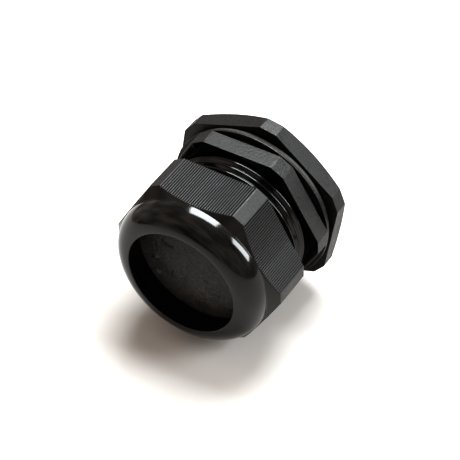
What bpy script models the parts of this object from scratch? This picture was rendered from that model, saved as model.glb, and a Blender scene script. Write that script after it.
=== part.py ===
"""Nylon cable gland, size PG48: body, gasket, lock nut, dome nut and clamping cage.

Each piece is modelled about its own +Z axis and hung on the gland_axis empty, which
lays that axis along +Y with the dome nut's lip at the front (-Y). The origin is the
middle of the whole gland. All threads are right-handed.
"""

import math

import bmesh
import bpy
from mathutils import Matrix

MM = 0.001

# Positions along the axis, in mm back from the dome nut's lip
LIP = 0.0
LIP_LAND_END = 2.0
MOUTH_FLARE_END = 5.5
DOME_CREASE = 9.1
NUT_LEDGE = 12.0
NUT_CORNER = 12.1
SPIGOT_FRONT = 21.5
FUNNEL_START = 27.0
NUT_REAR = 29.5
FUNNEL_END = 36.8
HEX_FRONT = 41.5
HEX_REAR = 48.8
COLLAR_FRONT = 50.0
COLLAR_REAR = 51.1
ENTRY_END = 65.2

# Clear gap between neighbouring pieces
GAP = 0.3

# Dome nut
DOME_FLAT_R = 32.5
DOME_FACET_R = 36.03
DOME_CORNER_R = 36.12
DOME_BLANK_R = 37.0
DOME_TURN = 1.4
LIP_R = 23.0
DOME_R = 9.1
DOME_STEPS = 8
MOUTH_R = 26.0
NUT_BORE_R = 30.3
NUT_THREAD_R = 28.9
NUT_THREAD_START = 18.0
NUT_THREAD_TURNS = 3.4

# Body
SPIGOT_R = 28.5
HEX_FLAT_R = 32.0
HEX_FACET_R = 35.2
HEX_TURN = 0.0
GROOVE_R = 31.3
COLLAR_R = 34.35
FUNNEL_R = 27.35
FUNNEL_END_R = 25.7
CABLE_BORE_R = 25.0

# Coarse clamping thread between the spigot and the dome nut
CLAMP_PITCH = 3.0
CLAMP_THREAD_R = 29.9
CLAMP_START = 22.5
CLAMP_TURNS = 6.4
CLAMP_CREST_HALF = 0.35
CLAMP_ROOT_HALF = 0.85

# Fine entry thread, 16 turns to the inch
ENTRY_PITCH = 25.4 / 16
ENTRY_ROOT_R = 28.75
ENTRY_THREAD_R = 29.65
ENTRY_START = 52.2
ENTRY_TURNS = 7.25
ENTRY_CHAMFER = 0.8
ENTRY_CREST_HALF = 0.12
ENTRY_ROOT_HALF = 0.52

# Gasket and lock nut
GASKET_THICK = 1.8
GASKET_IN_R = 30.0
GASKET_OUT_R = 33.6
GASKET_CHAMFER = 0.3
LOCK_THICK = 8.0
LOCK_FLAT_R = 34.5
LOCK_FACET_R = 37.8
LOCK_TURN = -19.7
LOCK_BORE_R = 29.95
LOCK_THREAD_R = 29.05
LOCK_THREAD_TURNS = 3.6
LOCK_LAND_R = 33.64
LOCK_BLANK_R = 38.5
LOCK_CONE_DROP = 2.27

# Clamping cage, which the dome nut pushes along
DISC_THICK = 1.3
CAGE_R = 27.0
CLAW_RING_LENGTH = 3.6
CLAW_RING_IN_R = 24.1
SEAL_LENGTH = 12.0
SEAL_OUT_R = 23.8
SEAL_IN_R = 22.3
SEAL_CHAMFER = 0.6
FINGER_COUNT = 16
FINGER_LENGTH = 9.5
FINGER_OUT_R = 26.6
FINGER_IN_R = 25.3
FINGER_HINGE_R = 25.95
FINGER_SWEEP = 20.3
FINGER_STEPS = 3
FINGER_WEB_LENGTH = 1.6
FINGER_WEB_HALF = 0.35
FINGER_TIP_CHAMFER = 0.6

# Facets round a full circle
ROUND_STEPS = 48
THREAD_STEPS = 24

# Depth that a joined solid sinks into its neighbour, and that a blank overshoots
SINK = 0.4
OVERSHOOT = 1.0

MERGE_DISTANCE = 0.000001
SHARP_ANGLE = math.radians(25)

# Base colour and roughness
GLOSS_NYLON = ((0.012, 0.012, 0.013), 0.16)
SATIN_NYLON = ((0.016, 0.016, 0.017), 0.42)
MATTE_NYLON = ((0.020, 0.020, 0.021), 0.55)
BLACK_RUBBER = ((0.012, 0.012, 0.012), 0.80)


def outward(degrees):
    """Unit vector across the axis, at an angle from the top growing towards +X."""
    angle = math.radians(degrees)
    return math.sin(angle), -math.cos(angle)


def bmesh_object(name, bm):
    """Make an object from a bmesh, with its faces turned outwards."""
    bmesh.ops.recalc_face_normals(bm, faces=bm.faces)
    mesh = bpy.data.meshes.new(name)
    bm.to_mesh(mesh)
    bm.free()
    obj = bpy.data.objects.new(name, mesh)
    bpy.context.scene.collection.objects.link(obj)
    return obj


def turned(name, profile, origin):
    """Turn a closed (radius, position) profile about the axis.

    The profile runs down its outer side, from the rear to the front.
    """
    verts = [(radius * MM, 0.0, (position - origin) * MM) for radius, position in profile]
    count = len(verts)
    edges = [(k, (k + 1) % count) for k in range(count)]
    mesh = bpy.data.meshes.new(name)
    mesh.from_pydata(verts, edges, [])
    obj = bpy.data.objects.new(name, mesh)
    bpy.context.scene.collection.objects.link(obj)
    screw = obj.modifiers.new("turn", "SCREW")
    screw.axis = "Z"
    screw.steps = ROUND_STEPS
    screw.render_steps = ROUND_STEPS
    screw.use_merge_vertices = True
    screw.merge_threshold = MERGE_DISTANCE
    return obj


def thread(name, root, crest, start, turns, pitch, origin):
    """Wind one tooth round the axis; root and crest are (radius, half width) pairs.

    It starts half a facet round, so that its edges cross the middles of the core's facets.
    """
    (root_r, root_half), (crest_r, crest_half) = root, crest
    slope = (root_half - crest_half) / (crest_r - root_r)
    sunk_r = root_r - math.copysign(SINK, crest_r - root_r)
    sunk_half = root_half + abs(slope) * SINK
    outline = [(sunk_r, -sunk_half), (crest_r, -crest_half), (crest_r, crest_half), (sunk_r, sunk_half)]
    bm = bmesh.new()
    verts = [bm.verts.new((r * MM, 0.0, (start + z - origin) * MM)) for r, z in outline]
    tooth = bm.faces.new(verts)
    count = round(turns * THREAD_STEPS)
    bmesh.ops.spin(
        bm,
        geom=[*bm.verts, *bm.edges, tooth],
        axis=(0.0, 0.0, 1.0),
        dvec=(0.0, 0.0, pitch * MM / THREAD_STEPS),
        angle=math.tau * count / THREAD_STEPS,
        steps=count,
    )
    half_facet = Matrix.Rotation(math.pi / ROUND_STEPS, 3, "Z")
    bmesh.ops.rotate(bm, verts=bm.verts, matrix=half_facet)
    return bmesh_object(name, bm)


def spanner_hexagon(name, flat_r, facet_r, turn, front, rear, origin):
    """A hexagon prism whose six corners are cut back by narrow facets."""
    half = math.radians(30.0)
    half_width = (facet_r - flat_r * math.cos(half)) / math.sin(half)
    bm = bmesh.new()
    outline = []
    for k in range(6):
        nx, ny = outward(turn + 60.0 * k)
        for side in (-half_width, half_width):
            x = flat_r * nx - side * ny
            y = flat_r * ny + side * nx
            outline.append(bm.verts.new((x * MM, y * MM, (front - origin) * MM)))
    end = bm.faces.new(outline)
    grown = bmesh.ops.extrude_face_region(bm, geom=[end])
    moved = [item for item in grown["geom"] if isinstance(item, bmesh.types.BMVert)]
    bmesh.ops.translate(bm, verts=moved, vec=(0.0, 0.0, (rear - front) * MM))
    return bmesh_object(name, bm)


def cylinder(name, radius, front, rear, origin):
    bm = bmesh.new()
    middle = (front + rear) / 2 - origin
    bmesh.ops.create_cone(
        bm,
        cap_ends=True,
        segments=ROUND_STEPS,
        radius1=radius * MM,
        radius2=radius * MM,
        depth=(rear - front) * MM,
        matrix=Matrix.Translation((0.0, 0.0, middle * MM)),
    )
    return bmesh_object(name, bm)


def combine(obj, operation, tool):
    """Join, cut or trim a piece with another solid, which is used up."""
    boolean = obj.modifiers.new(operation.lower(), "BOOLEAN")
    boolean.operation = operation
    boolean.solver = "EXACT"
    boolean.object = tool
    bake(obj)
    bpy.data.objects.remove(tool, do_unlink=True)


def bake(obj):
    """Swap a piece's modifiers for the mesh they make."""
    depsgraph = bpy.context.evaluated_depsgraph_get()
    mesh = bpy.data.meshes.new_from_object(obj.evaluated_get(depsgraph))
    obj.modifiers.clear()
    obj.data = mesh
    mesh.name = obj.name


def finish(obj, look, collection):
    """Give a piece its material, smooth its round faces and file it."""
    bake(obj)
    color, roughness = look
    material = bpy.data.materials.new(obj.name)
    material.use_nodes = True
    shader = material.node_tree.nodes["Principled BSDF"]
    shader.inputs["Base Color"].default_value = (*color, 1.0)
    shader.inputs["Roughness"].default_value = roughness
    shader.inputs["Metallic"].default_value = 0.0
    obj.data.materials.clear()
    obj.data.materials.append(material)
    obj.data.shade_smooth()
    obj.data.set_sharp_from_angle(angle=SHARP_ANGLE)
    bpy.context.scene.collection.objects.unlink(obj)
    collection.objects.link(obj)


def hang(obj, axis, origin):
    """Place a piece on the gland's axis, with its origin at a position along it."""
    obj.parent = axis
    obj.location = (0.0, 0.0, origin * MM)


def make_body(axis, collection):
    """Spigot with the clamping thread, spanner hexagon, groove, collar and entry thread."""
    origin = SPIGOT_FRONT
    body = turned(
        "gland_body",
        [
            (ENTRY_ROOT_R - ENTRY_CHAMFER, ENTRY_END),
            (ENTRY_ROOT_R, ENTRY_END - ENTRY_CHAMFER),
            (ENTRY_ROOT_R, COLLAR_REAR),
            (COLLAR_R, COLLAR_REAR),
            (COLLAR_R, COLLAR_FRONT),
            (GROOVE_R, COLLAR_FRONT),
            (GROOVE_R, HEX_REAR),
            (SPIGOT_R, HEX_REAR),
            (SPIGOT_R, SPIGOT_FRONT),
            (FUNNEL_R, SPIGOT_FRONT),
            (FUNNEL_R, FUNNEL_START),
            (FUNNEL_END_R, FUNNEL_END),
            (CABLE_BORE_R, FUNNEL_END),
            (CABLE_BORE_R, ENTRY_END),
        ],
        origin,
    )
    hexagon = spanner_hexagon(
        "hexagon", HEX_FLAT_R, HEX_FACET_R, HEX_TURN, HEX_FRONT, HEX_REAR, origin
    )
    hollow_r = (CABLE_BORE_R + SPIGOT_R) / 2
    hollow = cylinder("hollow", hollow_r, HEX_FRONT - OVERSHOOT, HEX_REAR + OVERSHOOT, origin)
    combine(hexagon, "DIFFERENCE", hollow)
    combine(body, "UNION", hexagon)
    clamp_thread = thread(
        "clamp_thread",
        (SPIGOT_R, CLAMP_ROOT_HALF),
        (CLAMP_THREAD_R, CLAMP_CREST_HALF),
        CLAMP_START,
        CLAMP_TURNS,
        CLAMP_PITCH,
        origin,
    )
    combine(body, "UNION", clamp_thread)
    entry_thread = thread(
        "entry_thread",
        (ENTRY_ROOT_R, ENTRY_ROOT_HALF),
        (ENTRY_THREAD_R, ENTRY_CREST_HALF),
        ENTRY_START,
        ENTRY_TURNS,
        ENTRY_PITCH,
        origin,
    )
    combine(body, "UNION", entry_thread)
    finish(body, SATIN_NYLON, collection)
    hang(body, axis, origin)


def make_dome_nut(axis, collection):
    """Domed sealing nut with spanner flats, its mouth, ledge and clamping thread."""
    origin = LIP
    cone_slope = (NUT_CORNER - DOME_CREASE) / (DOME_CORNER_R - LIP_R - DOME_R)
    cone_end = NUT_CORNER + cone_slope * (DOME_BLANK_R - DOME_CORNER_R)
    dome = []
    for k in range(DOME_STEPS + 1):
        angle = math.pi / 2 * k / DOME_STEPS
        dome.append((LIP_R + DOME_R * math.cos(angle), DOME_CREASE - DOME_R * math.sin(angle)))
    nut = turned(
        "dome_nut",
        [
            (DOME_BLANK_R, NUT_REAR),
            (DOME_BLANK_R, cone_end),
            *dome,
            (LIP_R, LIP_LAND_END),
            (MOUTH_R, MOUTH_FLARE_END),
            (MOUTH_R, NUT_LEDGE),
            (NUT_BORE_R, NUT_LEDGE),
            (NUT_BORE_R, NUT_REAR),
        ],
        origin,
    )
    flats = spanner_hexagon(
        "flats", DOME_FLAT_R, DOME_FACET_R, DOME_TURN, LIP - OVERSHOOT, NUT_REAR + OVERSHOOT, origin
    )
    combine(nut, "INTERSECT", flats)
    nut_thread = thread(
        "nut_thread",
        (NUT_BORE_R, CLAMP_ROOT_HALF),
        (NUT_THREAD_R, CLAMP_CREST_HALF),
        NUT_THREAD_START,
        NUT_THREAD_TURNS,
        CLAMP_PITCH,
        origin,
    )
    combine(nut, "UNION", nut_thread)
    finish(nut, GLOSS_NYLON, collection)
    hang(nut, axis, origin)


def make_gasket(axis, collection):
    """Flat sealing ring between the collar and the panel."""
    front = COLLAR_REAR + GAP
    rear = front + GASKET_THICK
    gasket = turned(
        "gasket",
        [
            (GASKET_OUT_R - GASKET_CHAMFER, rear),
            (GASKET_OUT_R, rear - GASKET_CHAMFER),
            (GASKET_OUT_R, front + GASKET_CHAMFER),
            (GASKET_OUT_R - GASKET_CHAMFER, front),
            (GASKET_IN_R, front),
            (GASKET_IN_R, rear),
        ],
        front,
    )
    finish(gasket, BLACK_RUBBER, collection)
    hang(gasket, axis, front)


def make_lock_nut(axis, collection):
    """Flat-sided nut on the entry thread, with its rear corners turned off."""
    front = COLLAR_REAR + GASKET_THICK + 2 * GAP
    rear = front + LOCK_THICK
    nut = turned(
        "lock_nut",
        [
            (LOCK_LAND_R, rear),
            (LOCK_BLANK_R, rear - LOCK_CONE_DROP),
            (LOCK_BLANK_R, front),
            (LOCK_BORE_R, front),
            (LOCK_BORE_R, rear),
        ],
        front,
    )
    flats = spanner_hexagon(
        "flats", LOCK_FLAT_R, LOCK_FACET_R, LOCK_TURN, front - OVERSHOOT, rear + OVERSHOOT, front
    )
    combine(nut, "INTERSECT", flats)
    nut_thread = thread(
        "nut_thread",
        (LOCK_BORE_R, ENTRY_ROOT_HALF),
        (LOCK_THREAD_R, ENTRY_CREST_HALF),
        ENTRY_START + 1.5 * ENTRY_PITCH,
        LOCK_THREAD_TURNS,
        ENTRY_PITCH,
        front,
    )
    combine(nut, "UNION", nut_thread)
    finish(nut, MATTE_NYLON, collection)
    hang(nut, axis, front)


def make_dust_disc(axis, collection):
    """Blanking disc that closes the mouth until a cable goes in."""
    front = NUT_LEDGE + GAP
    disc = cylinder("dust_disc", CAGE_R, front, front + DISC_THICK, front)
    finish(disc, BLACK_RUBBER, collection)
    hang(disc, axis, front)


def make_claw_ring(axis, collection):
    """Ring that carries the clamping fingers."""
    front = NUT_LEDGE + DISC_THICK + 2 * GAP
    rear = front + CLAW_RING_LENGTH
    ring = turned(
        "claw_ring",
        [(CAGE_R, rear), (CAGE_R, front), (CLAW_RING_IN_R, front), (CLAW_RING_IN_R, rear)],
        front,
    )
    finish(ring, SATIN_NYLON, collection)
    hang(ring, axis, front)


def make_seal(axis, collection):
    """Rubber sleeve that the fingers close on the cable."""
    front = NUT_LEDGE + DISC_THICK + 2 * GAP
    rear = front + SEAL_LENGTH
    seal = turned(
        "seal_insert",
        [
            (SEAL_OUT_R, rear),
            (SEAL_OUT_R, front),
            (SEAL_IN_R + SEAL_CHAMFER, front),
            (SEAL_IN_R, front + SEAL_CHAMFER),
            (SEAL_IN_R, rear),
        ],
        front,
    )
    finish(seal, BLACK_RUBBER, collection)
    hang(seal, axis, front)


def make_finger(number, axis, collection):
    """One clamping finger, with its origin on its living hinge."""
    hinge = NUT_LEDGE + DISC_THICK + CLAW_RING_LENGTH + 3 * GAP
    outline = [
        (FINGER_HINGE_R + FINGER_WEB_HALF, 0.0),
        (FINGER_OUT_R, FINGER_WEB_LENGTH),
        (FINGER_OUT_R, FINGER_LENGTH - FINGER_TIP_CHAMFER),
        (FINGER_OUT_R - FINGER_TIP_CHAMFER, FINGER_LENGTH),
        (FINGER_IN_R, FINGER_LENGTH),
        (FINGER_IN_R, FINGER_WEB_LENGTH),
        (FINGER_HINGE_R - FINGER_WEB_HALF, 0.0),
    ]
    bm = bmesh.new()
    verts = [bm.verts.new(((r - FINGER_HINGE_R) * MM, 0.0, z * MM)) for r, z in outline]
    side = bm.faces.new(verts)
    sweep = math.radians(FINGER_SWEEP)
    centre = (-FINGER_HINGE_R * MM, 0.0, 0.0)
    bmesh.ops.rotate(bm, verts=bm.verts, cent=centre, matrix=Matrix.Rotation(-sweep / 2, 3, "Z"))
    bmesh.ops.spin(
        bm,
        geom=[*bm.verts, *bm.edges, side],
        cent=centre,
        axis=(0.0, 0.0, 1.0),
        angle=sweep,
        steps=FINGER_STEPS,
    )
    finger = bmesh_object(f"clamp_finger_{number:02d}", bm)
    finish(finger, SATIN_NYLON, collection)
    turn = 360.0 / FINGER_COUNT * (number - 1)
    x, y = outward(turn)
    finger.parent = axis
    finger.location = (FINGER_HINGE_R * x * MM, FINGER_HINGE_R * y * MM, hinge * MM)
    finger.rotation_euler = (0.0, 0.0, math.atan2(y, x))


def make_gland():
    for obj in list(bpy.data.objects):
        bpy.data.objects.remove(obj, do_unlink=True)
    collection = bpy.data.collections.new("cable_gland")
    bpy.context.scene.collection.children.link(collection)
    axis = bpy.data.objects.new("gland_axis", None)
    axis.location = (0.0, -ENTRY_END / 2 * MM, 0.0)
    axis.rotation_euler = (math.radians(-90.0), 0.0, 0.0)
    axis.empty_display_size = ENTRY_END * MM
    axis.empty_display_type = "SINGLE_ARROW"
    collection.objects.link(axis)
    make_body(axis, collection)
    make_dome_nut(axis, collection)
    make_gasket(axis, collection)
    make_lock_nut(axis, collection)
    make_dust_disc(axis, collection)
    make_claw_ring(axis, collection)
    make_seal(axis, collection)
    for number in range(1, FINGER_COUNT + 1):
        make_finger(number, axis, collection)


make_gland()
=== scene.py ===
"""Black nylon cable gland on a white table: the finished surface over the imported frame.

Places along the gland are in mm back from the dome nut's lip, and radii are in mm.
Angles round its axis start at the top (+Z) and grow towards +X.
"""

import math

import bmesh
import bpy
import numpy as np
from mathutils import Matrix, Vector, noise


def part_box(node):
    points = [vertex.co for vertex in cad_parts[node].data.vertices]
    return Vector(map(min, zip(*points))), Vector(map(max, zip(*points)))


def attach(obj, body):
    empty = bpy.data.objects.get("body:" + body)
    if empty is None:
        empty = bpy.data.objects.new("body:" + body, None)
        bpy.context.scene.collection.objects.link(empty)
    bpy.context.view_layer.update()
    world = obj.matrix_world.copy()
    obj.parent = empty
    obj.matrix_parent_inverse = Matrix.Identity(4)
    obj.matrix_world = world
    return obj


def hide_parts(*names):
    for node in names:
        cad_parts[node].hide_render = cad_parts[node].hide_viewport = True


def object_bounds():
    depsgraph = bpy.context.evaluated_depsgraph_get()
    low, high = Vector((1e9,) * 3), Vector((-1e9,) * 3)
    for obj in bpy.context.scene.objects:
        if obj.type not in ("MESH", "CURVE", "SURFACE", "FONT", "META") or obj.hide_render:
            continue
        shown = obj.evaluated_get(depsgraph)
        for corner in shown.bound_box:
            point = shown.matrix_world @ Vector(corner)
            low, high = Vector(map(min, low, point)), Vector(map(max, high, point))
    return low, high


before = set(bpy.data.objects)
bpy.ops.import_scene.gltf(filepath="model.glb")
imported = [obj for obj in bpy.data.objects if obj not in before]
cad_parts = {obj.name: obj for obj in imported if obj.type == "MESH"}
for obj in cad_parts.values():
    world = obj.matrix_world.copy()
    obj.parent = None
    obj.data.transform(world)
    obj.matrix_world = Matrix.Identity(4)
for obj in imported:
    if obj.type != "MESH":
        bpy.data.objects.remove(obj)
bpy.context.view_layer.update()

MM = 0.001
LIP_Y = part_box("dome_nut")[0][1]


def ends(node):
    """Front and rear of a CAD node, in mm back from the lip."""
    low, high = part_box(node)
    return (low[1] - LIP_Y) / MM, (high[1] - LIP_Y) / MM


def half_width(node):
    """Half of a CAD node's width, in mm."""
    low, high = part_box(node)
    return (high[0] - low[0]) / 2 / MM


LIP, NUT_REAR = ends("dome_nut")
SPIGOT_FRONT, ENTRY_END = ends("gland_body")
GASKET_FRONT, GASKET_REAR = ends("gasket")
LOCK_FRONT, LOCK_REAR = ends("lock_nut")
DISC_FRONT, DISC_REAR = ends("dust_disc")
RING_FRONT, RING_REAR = ends("claw_ring")
SEAL_FRONT, SEAL_REAR = ends("seal_insert")
FINGER_FRONT, FINGER_REAR = ends("clamp_finger_01")
CAGE_R = half_width("claw_ring")
SEAL_R = half_width("seal_insert")
GASKET_R = half_width("gasket")

# Dome nut
DOME_FLAT, DOME_FACET, DOME_TURN = 32.5, 36.03, 1.4
LIP_R = 23.0
DOME_R = 9.1
DOME_ROWS = 22
CREASE_DROP = 0.25
SHOULDER_SLOPE = 0.746
LIP_LAND_END = 2.0
MOUTH_R = 26.0
MOUTH_FLARE_END = 5.5
NUT_BORE_R = 30.3
NUT_BORE_CHAMFER = 0.5
LEDGE_GAP = 0.3
GLOSS_OVERLAP = 0.15

# Ribs across each wide flat of the dome nut, and the V grooves that part them: how many
# grooves on each half of a flat, the half widths of a groove at its top and at its floor,
# and how far below the flat a face has to lie to count as part of a groove
RIB_PITCH = 0.972
RIB_DEPTH, RIB_CROWN = 0.45, 0.06
GROOVES_PER_HALF = 16
GROOVE_HALF, GROOVE_FLOOR = 0.28, 0.05
GROOVE_STARTS = 0.1

# Body
SPIGOT_R = 28.5
SPIGOT_GLOSS = 0.1
HEX_FLAT, HEX_FACET, HEX_TURN = 32.0, 35.2, 0.0
HEX_FRONT, HEX_REAR = 41.5, 48.8
GROOVE_R = 31.3
COLLAR_FRONT, COLLAR_REAR, COLLAR_R = 50.0, 51.1, 34.35
ENTRY_ROOT_R = 28.75
CABLE_BORE_R = 25.0
FUNNEL_START, FUNNEL_END = 27.0, 36.8
FUNNEL_R, FUNNEL_END_R = 27.35, 25.7

# Lock nut and gasket
LOCK_FLAT, LOCK_FACET, LOCK_TURN = 34.5, 37.8, -19.7
LOCK_BORE_R = 29.95
LOCK_BORE_CHAMFER = 0.6
LOCK_LAND_R = 33.64
LOCK_CONE_SLOPE = 0.4665
GASKET_IN_R = 30.0

# Clamping cage
RING_IN_R = 24.1
RING_CHAMFER, RING_CHAMFER_LENGTH = 0.5, 0.9
SEAL_IN_R = 22.3
SEAL_CHAMFER = 0.6
SEAL_GROOVE_DEPTH, SEAL_GROOVE_HALF = 0.5, 0.7
FINGER_COUNT = 16
FINGER_SWEEP = 20.3
FINGER_OUT_R, FINGER_IN_R, FINGER_HINGE_R = 26.6, 25.3, 25.95
FINGER_WEB_HALF, FINGER_WEB_LENGTH = 0.35, 1.6
FINGER_TIP_CHAMFER = 0.6
FINGER_GROOVES = (1.8, 3.6, 5.4)
FINGER_GROOVE_DEPTH, FINGER_GROOVE_HALF = 0.35, 0.5
FINGER_BEVEL, FINGER_STEPS = 0.12, 9

# Threads: root and crest as (radius, half width), pitch, where the first turn starts, turns
CLAMP_PITCH = 3.0
ENTRY_PITCH = 25.4 / 16
ENTRY_START = 52.2
CLAMP_THREAD = ((SPIGOT_R, 1.40), (29.9, 0.15), CLAMP_PITCH, 22.5, 6.4)
NUT_THREAD = ((NUT_BORE_R, 0.85), (28.9, 0.35), CLAMP_PITCH, 18.0, 3.4)
ENTRY_THREAD = ((ENTRY_ROOT_R, 0.52), (29.65, 0.12), ENTRY_PITCH, ENTRY_START, 7.5)
LOCK_THREAD = ((LOCK_BORE_R, 0.52), (29.05, 0.12), ENTRY_PITCH, ENTRY_START + 1.5 * ENTRY_PITCH, 3.6)

# Every thread: where it starts round the axis, how far it sinks into its core, over how many
# turns its ends fade and to what share of its height, and how much of the height is rounded
THREAD_START = math.radians(93.75)
SUNK = 0.4
RUN_OUT, END_HEIGHT = 0.2, 0.03
CREST_ROUND = 0.28
CREST_STEPS = 5

# Dust disc: fineness of its mesh, heights of its relief, the noise that counts as a speck, how
# far inside its rim the relief fades, and its raised marks (x, z, length, width, slant in degrees)
DISC_ROWS, DISC_STEPS = 90, 320
DISC_LUMPS, DISC_SPECKS, DISC_MARK_HEIGHT = 0.20, 0.70, 0.90
SPECK_LEVEL = 0.25
DISC_RIM = 2.0
DISC_MARKS = (
    (-13.1, 3.3, 4.0, 0.55, -17.0),
    (-19.6, -5.9, 1.0, 0.70, 30.0),
    (3.3, -8.0, 0.8, 0.60, 0.0),
    (-11.3, -10.4, 1.6, 0.45, 60.0),
    (-18.6, -13.3, 1.2, 0.50, -40.0),
    (9.5, 2.5, 2.4, 0.45, 75.0),
    (1.5, 12.0, 2.0, 0.50, 10.0),
)

# Meshes: steps round a plain ring and round one turn of a thread, how sharply a hexagon's
# faces meet, and the closest angles that are kept apart
RING_STEPS, COIL_STEPS = 180, 96
HEX_SHARPNESS = 500
CLOSEST_ANGLES = math.radians(0.04)

# Rounded corners: steps in each, the largest share of a side that one may take, and what
# stands in for the length of a side that has none
EASE_STEPS, LARGEST_EASE = 3, 0.45
LEAST_LENGTH = 1e-9

# How near two points are merged, in metres, and the bends from which an edge stays sharp
# and from which a finger's edge is bevelled
MERGE_DISTANCE = 1e-7
SHARP_BEND = math.radians(40)
BEVEL_BEND = math.radians(35)

# Noise: scale of the slow mottle, the spans of it that colour and gloss follow, and the
# scale, span and strengths of the room's lighter and darker patches
MOTTLE_SCALE = 90.0
TINT_SPAN, GLOSS_SPAN = (0.38, 0.62), (0.3, 0.7)
PATCH_SCALE = 2.2
PATCH_SPAN, PATCH_STRENGTHS = (0.35, 0.65), (0.35, 1.65)

# Light
LAMP_COLOR = (0.94, 0.985, 1.0)
ROOM_COLOR = (0.53, 0.47, 0.425)
BACKDROP_COLOR = (1.0, 1.0, 1.0)

# Table and camera, in metres and degrees
TABLE_RADIUS = 0.40
TABLE_PLACE = (0.10, -0.06)
TABLE_GAP = 0.0001
TABLE_COLOR, TABLE_ROUGHNESS = (0.49, 0.472, 0.458), 0.9
CAMERA_PLACE = (0.2751, -0.4129, 0.4758)
CAMERA_AZIMUTH, CAMERA_ELEVATION, CAMERA_ROLL = 33.514, 43.779, -2.583
CAMERA_LENS, CAMERA_SENSOR = 140.87, 36.0
CAMERA_CLIP = 0.01


# --- shapes ---------------------------------------------------------------------------


def hexagon(angles, flat, facet, turn):
    """Radius of a hexagon with cut corners at each angle, its edges slightly rounded."""
    total = np.zeros_like(angles)
    for k in range(6):
        for radius, offset in ((flat, 0.0), (facet, 30.0)):
            facing = np.cos(angles - math.radians(turn + offset + 60 * k))
            total += np.clip(facing * flat / radius, 0.0, None) ** HEX_SHARPNESS
    return flat * total ** (-1.0 / HEX_SHARPNESS)


def flat_half_width(flat, facet):
    """Half the width of a hexagon's flats, from how far out its flats and cut corners lie."""
    return (facet - flat * math.cos(math.pi / 6)) / math.sin(math.pi / 6)


def hexagon_angles(flat, facet, turn, per_flat, per_facet):
    """Angles that sample every flat evenly and each cut corner closely."""
    edge = math.atan2(flat_half_width(flat, facet), flat)
    near_edge = np.radians([-0.8, -0.4, -0.2, -0.08, 0.08, 0.2, 0.4, 0.8])
    found = []
    for k in range(6):
        middle = math.radians(turn + 60 * k)
        across = np.linspace(-1, 1, per_flat + 1) * flat * math.tan(edge)
        found.extend(middle + np.arctan(across / flat))
        found.extend(middle + np.linspace(edge, math.pi / 3 - edge, per_facet + 1)[1:-1])
        for side in (-edge, edge):
            found.extend(middle + side + near_edge)
    found = np.sort(np.mod(found, math.tau))
    return found[np.diff(found, append=found[0] + math.tau) > CLOSEST_ANGLES]


def ribbed_hexagon(flat, facet, turn, per_facet):
    """Angles and radii of a hexagon whose wide flats carry ribs parted by V grooves."""
    half = flat_half_width(flat, facet)
    edge = math.atan2(half, flat)
    grooves = (np.arange(-GROOVES_PER_HALF, GROOVES_PER_HALF) + 0.5) * RIB_PITCH
    profile = (
        (-RIB_PITCH / 2, 0.0),
        (-GROOVE_HALF, RIB_CROWN),
        (-GROOVE_FLOOR, RIB_DEPTH),
        (GROOVE_FLOOR, RIB_DEPTH),
        (GROOVE_HALF, RIB_CROWN),
    )
    across = [(groove + step, depth) for groove in grooves for step, depth in profile]
    across = [(-half, 0.0)] + across + [(half, 0.0)]
    angles, radii = [], []
    for k in range(6):
        middle = math.radians(turn + 60 * k)
        for place, depth in across:
            angles.append(middle + math.atan2(place, flat))
            radii.append(math.hypot(flat, place) - depth)
        for angle in np.linspace(edge, math.pi / 3 - edge, per_facet + 1)[1:-1]:
            angles.append(middle + angle)
            radii.append(facet / math.cos(angle - math.pi / 6))
    return np.array(angles), np.array(radii)


def soften(path, count):
    """Round the corners of a closed path.

    Each corner is (radius, place, ease); radius and place may differ from angle to angle,
    and ease is how far back along its two sides the rounding starts.
    """
    corners = []
    for radius, place, _ in path:
        corners.append(np.stack([np.broadcast_to(radius, count), np.broadcast_to(place, count)], -1))
    rows = []
    for k, (here, (_, _, ease)) in enumerate(zip(corners, path)):
        if not ease:
            rows.append(here)
            continue
        starts = []
        for other in (corners[k - 1], corners[(k + 1) % len(path)]):
            leg = other - here
            length = np.maximum(np.linalg.norm(leg, axis=1, keepdims=True), LEAST_LENGTH)
            starts.append(here + leg * np.minimum(ease, LARGEST_EASE * length) / length)
        for t in np.linspace(0.0, 1.0, EASE_STEPS + 1):
            rows.append((1 - t) ** 2 * starts[0] + 2 * t * (1 - t) * here + t * t * starts[1])
    return np.stack(rows, 1)


def place_points(angles, grid):
    """(radius, place) pairs at angles round the axis, as points in metres."""
    radius, place = grid[..., 0] * MM, grid[..., 1] * MM
    across, up = np.sin(angles)[:, None], np.cos(angles)[:, None]
    return np.stack([radius * across, LIP_Y + place, radius * up], -1).reshape(-1, 3)


def mesh_object(name, points, faces):
    """A new object with its own mesh, doubled points merged and faces turned outwards."""
    mesh = bpy.data.meshes.new(name)
    mesh.from_pydata(points.tolist(), [], faces)
    bm = bmesh.new()
    bm.from_mesh(mesh)
    bmesh.ops.remove_doubles(bm, verts=bm.verts, dist=MERGE_DISTANCE)
    loose = [edge for edge in bm.edges if edge.is_wire]
    bmesh.ops.delete(bm, geom=loose, context="EDGES")
    bmesh.ops.recalc_face_normals(bm, faces=bm.faces)
    bm.to_mesh(mesh)
    bm.free()
    obj = bpy.data.objects.new(name, mesh)
    bpy.context.scene.collection.objects.link(obj)
    return obj


def turned(name, angles, path):
    """A closed path of corners carried round the axis."""
    grid = soften(path, len(angles))
    count, rows = grid.shape[:2]
    i, j = np.meshgrid(np.arange(count), np.arange(rows), indexing="ij")
    i2, j2 = (i + 1) % count, (j + 1) % rows
    faces = np.stack([i * rows + j, i * rows + j2, i2 * rows + j2, i2 * rows + j], -1)
    return mesh_object(name, place_points(angles, grid), faces.reshape(-1, 4).tolist())


def round_angles(count):
    """Even angles once round the axis."""
    return np.linspace(0.0, math.tau, count, endpoint=False)


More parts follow.
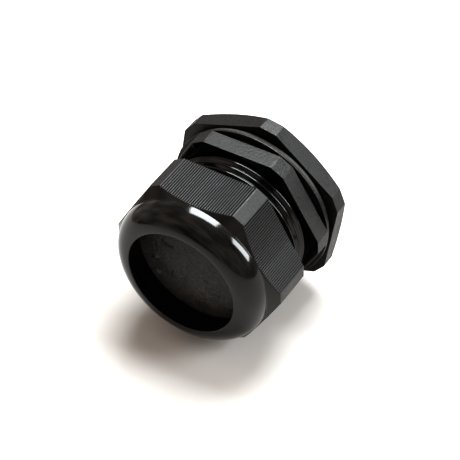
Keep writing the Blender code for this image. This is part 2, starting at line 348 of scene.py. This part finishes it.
def coil(name, root, crest, pitch, start, turns):
    """One right-handed tooth wound round the axis, fading out over its two ends.

    root and crest are (radius, half width); start is the place of its first turn, behind the lip.
    """
    (root_r, root_half), (crest_r, crest_half) = root, crest
    depth = crest_r - root_r
    side = [(-SUNK / abs(depth), root_half), (0.0, root_half)]
    for k in range(CREST_STEPS + 1):
        turn = math.pi / 2 * k / CREST_STEPS
        lift = 1 - CREST_ROUND + CREST_ROUND * math.sin(turn)
        side.append((lift, (crest_half + CREST_ROUND * (root_half - crest_half)) * math.cos(turn)))
    outline = side + [(lift, -half) for lift, half in reversed(side[:-1])]
    rows = len(outline)
    count = round(turns * COIL_STEPS)
    rings = []
    for k in range(count + 1):
        turn = k / COIL_STEPS
        fade = min(1.0, END_HEIGHT + min(turn, turns - turn) / RUN_OUT)
        radii = [root_r + depth * (lift * fade if lift > 0 else lift) for lift, _ in outline]
        places = [start + pitch * turn + half for _, half in outline]
        angle = np.array([THREAD_START + math.tau * turn])
        rings.append(place_points(angle, np.stack([radii, places], -1)[None]))
    faces = [list(range(rows)), list(range(count * rows, (count + 1) * rows))]
    for k in range(count):
        for j in range(rows):
            j2 = (j + 1) % rows
            low, high = k * rows, (k + 1) * rows
            faces.append([low + j, low + j2, high + j2, high + j])
    return mesh_object(name, np.concatenate(rings), faces)


def unite(obj, tool):
    """Join another solid to a piece, and use it up."""
    boolean = obj.modifiers.new("join", "BOOLEAN")
    boolean.operation = "UNION"
    boolean.solver = "EXACT"
    boolean.object = tool
    depsgraph = bpy.context.evaluated_depsgraph_get()
    mesh = bpy.data.meshes.new_from_object(obj.evaluated_get(depsgraph))
    obj.modifiers.clear()
    obj.data = mesh
    bpy.data.objects.remove(tool, do_unlink=True)


def finish_part(obj, index, inside):
    """Give the faces whose middles pass a test another of the piece's materials.

    The test gets each middle's radius and its place behind the lip, both in mm, and its angle.
    """
    for face in obj.data.polygons:
        x, y, z = face.center
        if inside(math.hypot(x, z) / MM, (y - LIP_Y) / MM, math.atan2(x, z)):
            face.material_index = index


def in_groove(radius, angle):
    """Whether a face of the dome nut lies in one of the grooves between its ribs."""
    away = (angle - math.radians(DOME_TURN) + math.pi / 6) % (math.pi / 3) - math.pi / 6
    across = abs(radius * math.sin(away))
    last_groove = (GROOVES_PER_HALF - 0.5) * RIB_PITCH + GROOVE_HALF
    return across < last_groove and radius * math.cos(away) < DOME_FLAT - GROOVE_STARTS


def dress(obj, materials, body, node):
    """Finish a piece: even its shading, give it its materials and hang it on its body."""
    obj.data.materials.clear()
    for material in materials:
        obj.data.materials.append(material)
    obj.data.shade_smooth()
    obj.data.set_sharp_from_angle(angle=SHARP_BEND)
    weights = obj.modifiers.new("even shading", "WEIGHTED_NORMAL")
    weights.keep_sharp = True
    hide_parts(node)
    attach(obj, body)


# --- materials ------------------------------------------------------------------------


def add_node(tree, kind, **settings):
    """A new shader node, with its inputs and properties set by name."""
    made = tree.nodes.new(kind)
    for key, value in settings.items():
        if key in made.inputs:
            made.inputs[key].default_value = value
        else:
            setattr(made, key, value)
    return made


def remapped(tree, value, source, target):
    """A socket's values carried from one range to another."""
    span = add_node(tree, "ShaderNodeMapRange")
    for key, number in zip(("From Min", "From Max", "To Min", "To Max"), (*source, *target)):
        span.inputs[key].default_value = number
    tree.links.new(value, span.inputs["Value"])
    return span.outputs["Result"]


def moulded(
    name, dark, light, *, roughness, spread, grain, mottle, grain_size=0.0005, grain_share=0.6, ior=1.44
):
    """Black moulding: mottled colour and gloss, a fine surface grain and faint waves.

    roughness is its middle value and spread how far it wanders; grain and mottle are the
    heights in metres of the fine texture and of the slow waves left by shrinkage; grain_size
    is in metres, and grain_share says how much of the mottled colour follows the grain.
    """
    material = bpy.data.materials.new(name)
    material.use_nodes = True
    tree = material.node_tree
    shader = tree.nodes["Principled BSDF"]
    shader.inputs["IOR"].default_value = ior
    place = add_node(tree, "ShaderNodeTexCoord").outputs["Object"]
    slow = add_node(tree, "ShaderNodeTexNoise", Scale=MOTTLE_SCALE, Detail=4.0, Roughness=0.6)
    fine = add_node(tree, "ShaderNodeTexNoise", Scale=1.0 / grain_size, Detail=2.0, Roughness=0.6)
    tree.links.new(place, slow.inputs["Vector"])
    tree.links.new(place, fine.inputs["Vector"])
    blend = add_node(tree, "ShaderNodeMix", data_type="FLOAT")
    blend.inputs[0].default_value = grain_share
    tree.links.new(slow.outputs["Fac"], blend.inputs[2])
    tree.links.new(fine.outputs["Fac"], blend.inputs[3])
    tint = add_node(tree, "ShaderNodeValToRGB")
    for stop, position, color in zip(tint.color_ramp.elements, TINT_SPAN, (dark, light)):
        stop.position = position
        stop.color = (*color, 1.0)
    tree.links.new(blend.outputs[0], tint.inputs["Fac"])
    tree.links.new(tint.outputs["Color"], shader.inputs["Base Color"])
    gloss = remapped(tree, blend.outputs[0], GLOSS_SPAN, (roughness - spread, roughness + spread))
    tree.links.new(gloss, shader.inputs["Roughness"])
    waves = add_node(tree, "ShaderNodeBump", Strength=1.0, Distance=mottle)
    tree.links.new(slow.outputs["Fac"], waves.inputs["Height"])
    texture = add_node(tree, "ShaderNodeBump", Strength=1.0, Distance=grain)
    tree.links.new(fine.outputs["Fac"], texture.inputs["Height"])
    tree.links.new(waves.outputs["Normal"], texture.inputs["Normal"])
    tree.links.new(texture.outputs["Normal"], shader.inputs["Normal"])
    return material


def paint_light_downwards(material, reach, top, bottom):
    """Paint light on a material: its colour lighter downwards, between reach above the axis and reach below
    it (metres).

    top and bottom are what its colour is multiplied by at the two ends.
    """
    tree = material.node_tree
    shader = tree.nodes["Principled BSDF"]
    height = add_node(tree, "ShaderNodeSeparateXYZ")
    tree.links.new(add_node(tree, "ShaderNodeTexCoord").outputs["Object"], height.inputs["Vector"])
    share = remapped(tree, height.outputs["Z"], (reach, -reach), (top, bottom))
    scale = add_node(tree, "ShaderNodeVectorMath", operation="SCALE")
    tree.links.new(shader.inputs["Base Color"].links[0].from_socket, scale.inputs["Vector"])
    tree.links.new(share, scale.inputs["Scale"])
    tree.links.new(scale.outputs["Vector"], shader.inputs["Base Color"])


# --- pieces ---------------------------------------------------------------------------


def make_dome_nut(polished, matte, groove):
    angles, flat = ribbed_hexagon(DOME_FLAT, DOME_FACET, DOME_TURN, per_facet=12)
    crease_r, crease = LIP_R + DOME_R, LIP + DOME_R + CREASE_DROP
    shoulder = crease + SHOULDER_SLOPE * (flat - crease_r)
    path = [(LIP_R, LIP + LIP_LAND_END, 0.6), (LIP_R, LIP, 0.35)]
    for k in range(1, DOME_ROWS + 1):
        turn = math.pi / 2 * k / DOME_ROWS
        path.append((LIP_R + DOME_R * math.sin(turn), LIP + DOME_R * (1 - math.cos(turn)), 0))
    path += [(crease_r, crease, 0.14), (flat, shoulder, 0.28)]
    path += [(flat, shoulder + share * (NUT_REAR - shoulder), 0) for share in (0.3, 0.6, 0.9)]
    path += [
        (flat, NUT_REAR, 0.35),
        (NUT_BORE_R + NUT_BORE_CHAMFER, NUT_REAR, 0.15),
        (NUT_BORE_R, NUT_REAR - NUT_BORE_CHAMFER, 0.15),
        (NUT_BORE_R, DISC_FRONT - LEDGE_GAP, 0.3),
        (MOUTH_R, DISC_FRONT - LEDGE_GAP, 0.25),
        (MOUTH_R, LIP + MOUTH_FLARE_END, 0.8),
    ]
    nut = turned("dome_nut_moulding", angles, path)
    unite(nut, coil("dome_nut_thread", *NUT_THREAD))
    dress(nut, [polished, matte, groove], "dome_nut", "dome_nut")

    def textured(radius, place, _):
        gloss_end = crease + SHOULDER_SLOPE * (radius - crease_r) + GLOSS_OVERLAP
        return radius > NUT_BORE_R and place > gloss_end

    finish_part(nut, 1, textured)
    # painted shade: faces in the rib grooves get the darker groove material
    finish_part(nut, 2, lambda *spot: textured(*spot) and in_groove(spot[0], spot[2]))


def make_body(satin, polished):
    angles = hexagon_angles(HEX_FLAT, HEX_FACET, HEX_TURN, per_flat=48, per_facet=12)
    flat = hexagon(angles, HEX_FLAT, HEX_FACET, HEX_TURN)
    path = [
        (FUNNEL_R, SPIGOT_FRONT, 0.25),
        (SPIGOT_R, SPIGOT_FRONT, 0.4),
        (SPIGOT_R, HEX_FRONT, 0.5),
        (flat, HEX_FRONT, 0.2),
        (flat, (HEX_FRONT + HEX_REAR) / 2, 0),
        (flat, HEX_REAR, 0.15),
        (GROOVE_R, HEX_REAR, 0.1),
        (GROOVE_R, COLLAR_FRONT, 0.1),
        (COLLAR_R, COLLAR_FRONT, 0.3),
        (COLLAR_R, COLLAR_REAR, 0.35),
        (ENTRY_ROOT_R, COLLAR_REAR, 0.3),
        (ENTRY_ROOT_R, ENTRY_END, 0.7),
        (CABLE_BORE_R, ENTRY_END, 0.5),
        (CABLE_BORE_R, FUNNEL_END, 0.3),
        (FUNNEL_END_R, FUNNEL_END, 0.2),
        (FUNNEL_R, FUNNEL_START, 1.0),
    ]
    body = turned("body_moulding", angles, path)
    unite(body, coil("clamping_thread", *CLAMP_THREAD))
    unite(body, coil("entry_thread", *ENTRY_THREAD))
    dress(body, [satin, polished], "gland_body", "gland_body")
    finish_part(body, 1, lambda radius, place, angle: place < HEX_FRONT + SPIGOT_GLOSS)


def make_lock_nut(material):
    angles = hexagon_angles(LOCK_FLAT, LOCK_FACET, LOCK_TURN, per_flat=36, per_facet=12)
    flat = hexagon(angles, LOCK_FLAT, LOCK_FACET, LOCK_TURN)
    corner = LOCK_REAR - LOCK_CONE_SLOPE * (flat - LOCK_LAND_R)
    path = [
        (LOCK_BORE_R + LOCK_BORE_CHAMFER, LOCK_FRONT, 0.2),
        (flat, LOCK_FRONT, 0.18),
        (flat, (LOCK_FRONT + corner) / 2, 0),
        (flat, corner, 0.2),
        (LOCK_LAND_R, LOCK_REAR, 0.3),
        (LOCK_BORE_R + LOCK_BORE_CHAMFER, LOCK_REAR, 0.2),
        (LOCK_BORE_R, LOCK_REAR - LOCK_BORE_CHAMFER, 0.2),
        (LOCK_BORE_R, LOCK_FRONT + LOCK_BORE_CHAMFER, 0.2),
    ]
    nut = turned("lock_nut_moulding", angles, path)
    unite(nut, coil("lock_nut_thread", *LOCK_THREAD))
    dress(nut, [material], "lock_nut", "lock_nut")


def make_gasket(material):
    path = [
        (GASKET_IN_R, GASKET_FRONT, 0.3),
        (GASKET_R, GASKET_FRONT, 0.5),
        (GASKET_R, GASKET_REAR, 0.5),
        (GASKET_IN_R, GASKET_REAR, 0.3),
    ]
    gasket = turned("gasket_ring", round_angles(RING_STEPS), path)
    dress(gasket, [material], "gasket", "gasket")


def bumps(x, z, size, layer):
    """Smooth noise over the disc's face, its bumps of one size in mm; layers differ."""
    return noise.noise(Vector((x / size, layer, z / size)))


def disc_relief(x, z):
    """Height of the dust disc's low relief, in mm: soft lumps, specks and a few raised marks."""
    lumps = 0.6 * bumps(x, z, size=6.0, layer=0.0) + 0.4 * bumps(x, z, size=2.2, layer=3.0)
    specks = max(0.0, bumps(x, z, size=1.1, layer=7.0) - SPECK_LEVEL)
    height = DISC_LUMPS * lumps - DISC_SPECKS * specks
    for mark_x, mark_z, length, width, slant in DISC_MARKS:
        turn = math.radians(slant)
        along = (x - mark_x) * math.cos(turn) + (z - mark_z) * math.sin(turn)
        across = (z - mark_z) * math.cos(turn) - (x - mark_x) * math.sin(turn)
        reach = math.hypot(max(0.0, abs(along) - length / 2), across) / width
        height += DISC_MARK_HEIGHT * math.exp(-reach * reach)
    return height


def make_dust_disc(material):
    path = [(CAGE_R * row, DISC_FRONT, 0) for row in np.linspace(0.0, 1.0, DISC_ROWS)]
    path += [(CAGE_R, DISC_REAR, 0), (0.0, DISC_REAR, 0)]
    disc = turned("dust_disc_face", round_angles(DISC_STEPS), path)
    for vertex in disc.data.vertices:
        x, y, z = vertex.co / MM
        if y < LIP_Y / MM + (DISC_FRONT + DISC_REAR) / 2:
            inward = min(1.0, (CAGE_R - math.hypot(x, z)) / DISC_RIM)
            vertex.co.y -= inward * disc_relief(x, z) * MM
    dress(disc, [material], "clamping_cage", "dust_disc")


def make_claw_ring(material):
    path = [
        (RING_IN_R, RING_FRONT, 0.3),
        (CAGE_R, RING_FRONT, 0.4),
        (CAGE_R, RING_REAR - RING_CHAMFER_LENGTH, 0.1),
        (CAGE_R - RING_CHAMFER, RING_REAR, 0.1),
        (RING_IN_R, RING_REAR, 0.3),
    ]
    ring = turned("claw_ring_moulding", round_angles(RING_STEPS), path)
    dress(ring, [material], "clamping_cage", "claw_ring")


def make_seal(material):
    path = [(SEAL_R, SEAL_FRONT, 0.3), (SEAL_R, SEAL_REAR, 0.5), (SEAL_IN_R, SEAL_REAR, 0.5)]
    for share in (0.75, 0.5, 0.25):
        middle = SEAL_FRONT + share * (SEAL_REAR - SEAL_FRONT)
        path += [
            (SEAL_IN_R, middle + SEAL_GROOVE_HALF, 0.2),
            (SEAL_IN_R + SEAL_GROOVE_DEPTH, middle, 0.3),
            (SEAL_IN_R, middle - SEAL_GROOVE_HALF, 0.2),
        ]
    path += [(SEAL_IN_R, SEAL_FRONT + SEAL_CHAMFER, 0.3), (SEAL_IN_R + SEAL_CHAMFER, SEAL_FRONT, 0.2)]
    seal = turned("seal_sleeve", round_angles(RING_STEPS), path)
    dress(seal, [material], "clamping_cage", "seal_insert")


def make_finger(number, material):
    """A clamping finger: thin at its living hinge, with gripping ridges inside."""
    path = [
        (FINGER_HINGE_R + FINGER_WEB_HALF, FINGER_FRONT, 0),
        (FINGER_OUT_R, FINGER_FRONT + FINGER_WEB_LENGTH, 0),
        (FINGER_OUT_R, FINGER_REAR - FINGER_TIP_CHAMFER, 0),
        (FINGER_OUT_R - FINGER_TIP_CHAMFER, FINGER_REAR, 0),
        (FINGER_IN_R, FINGER_REAR, 0),
    ]
    for back in FINGER_GROOVES:
        place = FINGER_REAR - back
        path += [
            (FINGER_IN_R, place + FINGER_GROOVE_HALF, 0),
            (FINGER_IN_R + FINGER_GROOVE_DEPTH, place, 0),
            (FINGER_IN_R, place - FINGER_GROOVE_HALF, 0),
        ]
    path += [
        (FINGER_IN_R, FINGER_FRONT + FINGER_WEB_LENGTH, 0),
        (FINGER_HINGE_R - FINGER_WEB_HALF, FINGER_FRONT, 0),
    ]
    middle = 360.0 / FINGER_COUNT * (number - 1)
    angles = np.radians(middle + np.linspace(-FINGER_SWEEP / 2, FINGER_SWEEP / 2, FINGER_STEPS))
    grid = soften(path, len(angles))
    count, rows = grid.shape[:2]
    faces = [list(range(rows)), list(range((count - 1) * rows, count * rows))]
    for i in range(count - 1):
        for j in range(rows):
            j2 = (j + 1) % rows
            faces.append([i * rows + j, i * rows + j2, (i + 1) * rows + j2, (i + 1) * rows + j])
    name = f"clamp_finger_{number:02d}"
    finger = mesh_object(f"{name}_moulding", place_points(angles, grid), faces)
    bevel = finger.modifiers.new("edges", "BEVEL")
    bevel.width = FINGER_BEVEL * MM
    bevel.segments = 2
    bevel.limit_method = "ANGLE"
    bevel.angle_limit = BEVEL_BEND
    dress(finger, [material], name, name)


# --- table, light and camera ----------------------------------------------------------


def make_table():
    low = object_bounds()[0][2]
    bm = bmesh.new()
    bmesh.ops.create_circle(bm, cap_ends=True, segments=96, radius=TABLE_RADIUS)
    mesh = bpy.data.meshes.new("table")
    bm.to_mesh(mesh)
    bm.free()
    table = bpy.data.objects.new("table", mesh)
    table.location = (*TABLE_PLACE, low - TABLE_GAP)
    bpy.context.scene.collection.objects.link(table)
    material = bpy.data.materials.new("table_white")
    material.use_nodes = True
    shader = material.node_tree.nodes["Principled BSDF"]
    shader.inputs["Base Color"].default_value = (*TABLE_COLOR, 1.0)
    shader.inputs["Roughness"].default_value = TABLE_ROUGHNESS
    mesh.materials.append(material)


def softbox(name, azimuth, elevation, distance, width, height, radiance):
    """A rectangular lamp aimed at the gland; azimuth 0 is behind it (+Y), 90 is +X.

    Width and height are for a distance of one metre; radiance is relative to white.
    """
    turn, rise = math.radians(azimuth), math.radians(elevation)
    away = Vector((math.sin(turn) * math.cos(rise), math.cos(turn) * math.cos(rise), math.sin(rise)))
    lamp = bpy.data.lights.new(name, "AREA")
    lamp.shape = "RECTANGLE"
    lamp.size, lamp.size_y = width * distance, height * distance
    lamp.energy = radiance * math.pi * lamp.size * lamp.size_y
    lamp.color = LAMP_COLOR
    obj = bpy.data.objects.new(name, lamp)
    obj.location = away * distance
    obj.rotation_euler = away.to_track_quat("Z", "Y").to_euler()
    bpy.context.scene.collection.objects.link(obj)


def make_room():
    """A dim, uneven room for light and reflections; the camera sees a white backdrop instead."""
    world = bpy.data.worlds.new("room")
    world.use_nodes = True
    tree = world.node_tree
    room = tree.nodes["Background"]
    patches = add_node(tree, "ShaderNodeTexNoise", Scale=PATCH_SCALE, Detail=3.0, Roughness=0.55)
    tree.links.new(add_node(tree, "ShaderNodeTexCoord").outputs["Generated"], patches.inputs["Vector"])
    room.inputs["Color"].default_value = (*ROOM_COLOR, 1.0)
    strength = remapped(tree, patches.outputs["Fac"], PATCH_SPAN, PATCH_STRENGTHS)
    tree.links.new(strength, room.inputs["Strength"])
    paper = add_node(tree, "ShaderNodeBackground", Color=(*BACKDROP_COLOR, 1.0))
    mix = add_node(tree, "ShaderNodeMixShader")
    tree.links.new(add_node(tree, "ShaderNodeLightPath").outputs["Is Camera Ray"], mix.inputs["Fac"])
    tree.links.new(room.outputs["Background"], mix.inputs[1])
    tree.links.new(paper.outputs["Background"], mix.inputs[2])
    tree.links.new(mix.outputs["Shader"], tree.nodes["World Output"].inputs["Surface"])
    bpy.context.scene.world = world


def make_camera():
    turn = Matrix.Rotation(math.radians(CAMERA_AZIMUTH), 3, "Z")
    tip = Matrix.Rotation(math.radians(90.0 - CAMERA_ELEVATION), 3, "X")
    roll = Matrix.Rotation(math.radians(CAMERA_ROLL), 3, "Z")
    data = bpy.data.cameras.new("camera")
    data.sensor_width = CAMERA_SENSOR
    data.lens = CAMERA_LENS
    data.clip_start = CAMERA_CLIP
    camera = bpy.data.objects.new("camera", data)
    camera.location = CAMERA_PLACE
    camera.rotation_euler = (turn @ tip @ roll).to_euler()
    bpy.context.scene.collection.objects.link(camera)
    bpy.context.scene.camera = camera


def make_pieces():
    gloss = moulded(
        "polished_nylon", (0.0015,) * 3, (0.003,) * 3,
        roughness=0.12, spread=0.03, grain=1e-6, mottle=2e-5, grain_share=0.3,
    )
    satin = moulded(
        "satin_nylon", (0.001,) * 3, (0.008,) * 3,
        roughness=0.49, spread=0.16, grain=1.6e-4, mottle=1e-5, grain_size=0.0009, ior=1.42,
    )
    matte = moulded(
        "matte_nylon", (0.001,) * 3, (0.008,) * 3,
        roughness=0.50, spread=0.16, grain=1.6e-4, mottle=1e-5, grain_size=0.0009, ior=1.41,
    )
    ribbed = moulded(
        "ribbed_nylon", (0.001,) * 3, (0.010,) * 3,
        roughness=0.50, spread=0.16, grain=1.6e-4, mottle=1e-5, grain_size=0.0009, ior=1.47,
    )
    # painted shade: a darker, weakly reflecting copy of the ribbed nylon for the grooves between the ribs
    groove = moulded(
        "groove_nylon_painted_shade", (0.001,) * 3, (0.004,) * 3,
        roughness=0.50, spread=0.10, grain=6e-5, mottle=1e-5, ior=1.27,
    )
    rubber = moulded(
        "black_rubber", (0.016, 0.016, 0.015), (0.044, 0.041, 0.036),
        roughness=0.60, spread=0.10, grain=6e-5, mottle=4e-5,
    )
    dusty_painted_light = moulded(
        "dusty_rubber_painted_light", (0.012,) * 3, (0.024, 0.0235, 0.0225),
        roughness=0.55, spread=0.10, grain=6e-5, mottle=1e-4, grain_size=0.0009,
    )
    # painted light: the dust disc's colour grows lighter towards its bottom, standing in for light on its
    # lower part; only the mottle is its own tone
    paint_light_downwards(dusty_painted_light, reach=0.016, top=0.1, bottom=3.8)
    make_dome_nut(gloss, ribbed, groove)
    make_body(satin, gloss)
    make_lock_nut(matte)
    make_gasket(rubber)
    make_dust_disc(dusty_painted_light)
    make_claw_ring(satin)
    make_seal(rubber)
    for number in range(1, FINGER_COUNT + 1):
        make_finger(number, satin)


def make_light():
    make_room()
    softbox(
        "overhead_softbox", azimuth=-6, elevation=68.0, distance=0.9, width=0.66, height=0.53, radiance=20.0
    )
    softbox("side_window", azimuth=70, elevation=30, distance=1.2, width=0.35, height=0.54, radiance=16.0)
    bpy.context.scene.view_settings.view_transform = "Standard"
    bpy.context.scene.view_settings.look = "High Contrast"


make_pieces()
make_table()
make_light()
make_camera()
